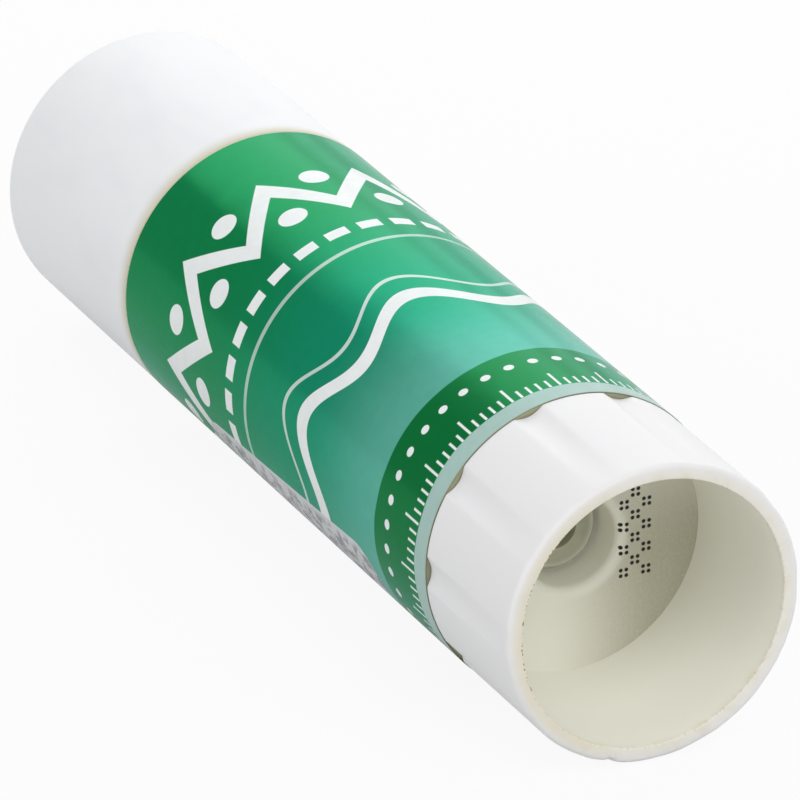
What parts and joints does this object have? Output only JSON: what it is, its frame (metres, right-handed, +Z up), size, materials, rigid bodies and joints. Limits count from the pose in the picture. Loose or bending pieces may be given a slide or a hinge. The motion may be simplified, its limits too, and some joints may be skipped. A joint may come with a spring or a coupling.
{
  "type": "glue stick",
  "caption": "Twist-up glue stick with a push-on cap, a labelled round barrel and a fluted hollow knob that winds the glue up and down on a screw spindle.",
  "frame": {"origin": "middle of the stick's length, on the surface that it lies on", "axes": "+X along the stick towards the knob's open end, +Y across it, +Z up from the surface that it lies on"},
  "size_m": [0.1154, 0.03, 0.03],
  "materials": {
    "cap": "satin moulded polypropylene, cool white",
    "barrel": "satin moulded polypropylene, white",
    "label": "glossy printed film, green to pale mint",
    "twist_knob": "satin moulded polypropylene, white, a little yellowed inside",
    "screw_spindle": "natural moulded polypropylene",
    "glue_carrier": "natural moulded polyethylene",
    "glue": "waxy, slightly translucent off-white glue"
  },
  "bodies": {
    "barrel": {"barrel": "barrel", "label": "label"},
    "knob": {"twist_knob": "twist_knob", "screw_spindle": "screw_spindle"},
    "carrier": {"glue_carrier": "glue_carrier", "glue_stick": "glue"},
    "cap": {"cap": "cap"}
  },
  "joints": [
    {"name": "knob_twist", "type": "hinge", "parent": "barrel", "child": "knob", "pos_m": [0.05, 0, 0.015], "axis": [-1, 0, 0], "range_deg": [0, 4320]},
    {"name": "carrier_slide", "type": "slide", "parent": "barrel", "child": "carrier", "axis": [-1, 0, 0], "range_m": [0, 0.06]},
    {"name": "cap_pull", "type": "slide", "parent": "carrier", "child": "cap", "axis": [-1, 0, 0], "range_m": [0, 0.04]}
  ],
  "couplings": [
    {"joint": "knob_twist", "follows": "carrier_slide", "rad_per_m": 1256.6}
  ]
}
